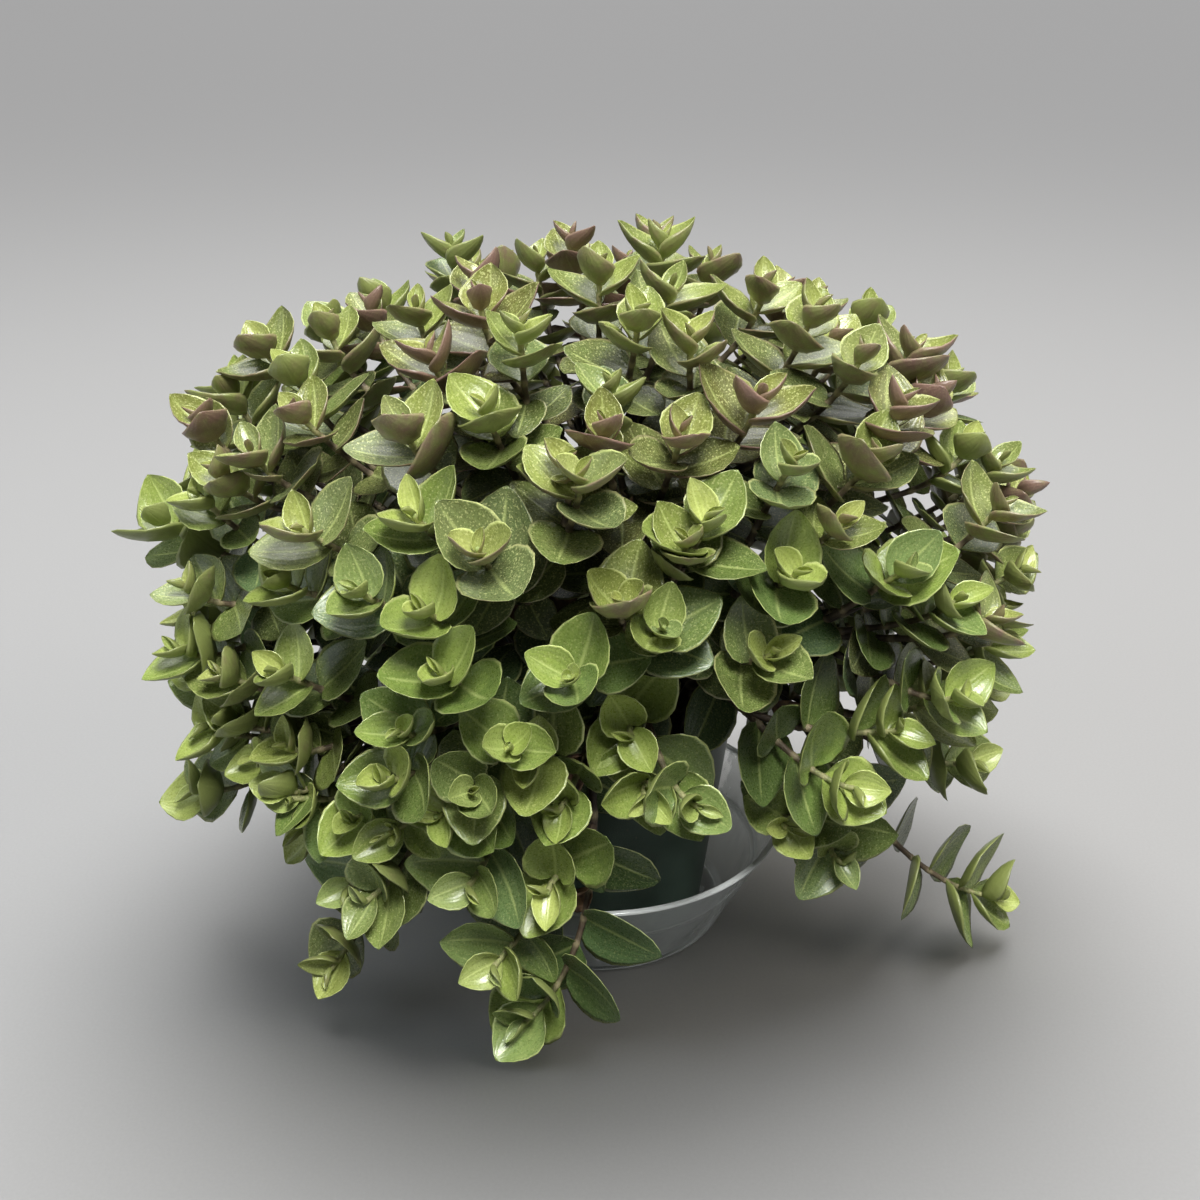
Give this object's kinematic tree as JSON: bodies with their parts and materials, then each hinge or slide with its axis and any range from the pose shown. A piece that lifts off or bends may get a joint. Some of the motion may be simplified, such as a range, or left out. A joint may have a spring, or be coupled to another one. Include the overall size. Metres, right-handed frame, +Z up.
{
  "type": "potted bolivian inch plant",
  "caption": "Trailing inch plant with small cupped leaves on dark stems, in a tapered nursery pot that stands in a deep clear saucer.",
  "frame": {"origin": "middle of the saucer's flat underside, on the surface the plant stands on", "axes": "+Z up, -Y towards the side where the pot shows most, +X to its right"},
  "size_m": [0.3133, 0.2644, 0.2428],
  "materials": {
    "leaf": "fresh green leaf blades with pale edges and bronze undersides on brown stems",
    "pot": "dark green moulded plastic",
    "saucer": "thin clear vacuum-formed plastic",
    "soil": "dark moist peat"
  },
  "bodies": {
    "root": {"saucer": "saucer", "pot": "pot", "soil": "soil", "leafy_stem_01": "leaf", "leafy_stem_02": "leaf", "leafy_stem_03": "leaf", "leafy_stem_04": "leaf", "leafy_stem_05": "leaf", "leafy_stem_06": "leaf", "leafy_stem_07": "leaf", "leafy_stem_08": "leaf", "leafy_stem_09": "leaf", "leafy_stem_10": "leaf", "leafy_stem_11": "leaf", "leafy_stem_12": "leaf", "leafy_stem_13": "leaf", "leafy_stem_14": "leaf", "leafy_stem_15": "leaf", "leafy_stem_16": "leaf", "leafy_stem_17": "leaf", "leafy_stem_18": "leaf", "leafy_stem_19": "leaf", "leafy_stem_20": "leaf", "leafy_stem_21": "leaf", "leafy_stem_22": "leaf", "leafy_stem_23": "leaf", "leafy_stem_24": "leaf", "leafy_stem_25": "leaf", "leafy_stem_26": "leaf", "leafy_stem_27": "leaf", "leafy_stem_28": "leaf", "leafy_stem_29": "leaf", "leafy_stem_30": "leaf", "leafy_stem_31": "leaf", "leafy_stem_32": "leaf", "leafy_stem_33": "leaf", "leafy_stem_34": "leaf", "leafy_stem_35": "leaf", "leafy_stem_36": "leaf", "leafy_stem_37": "leaf", "leafy_stem_38": "leaf", "leafy_stem_39": "leaf", "leafy_stem_40": "leaf", "leafy_stem_41": "leaf", "leafy_stem_42": "leaf", "leafy_stem_43": "leaf", "leafy_stem_44": "leaf", "leafy_stem_45": "leaf", "leafy_stem_46": "leaf", "leafy_stem_47": "leaf", "leafy_stem_48": "leaf", "leafy_stem_49": "leaf", "leafy_stem_50": "leaf", "leafy_stem_51": "leaf", "leafy_stem_52": "leaf", "leafy_stem_53": "leaf", "leafy_stem_54": "leaf", "leafy_stem_55": "leaf", "leafy_stem_56": "leaf"}
  },
  "joints": []
}
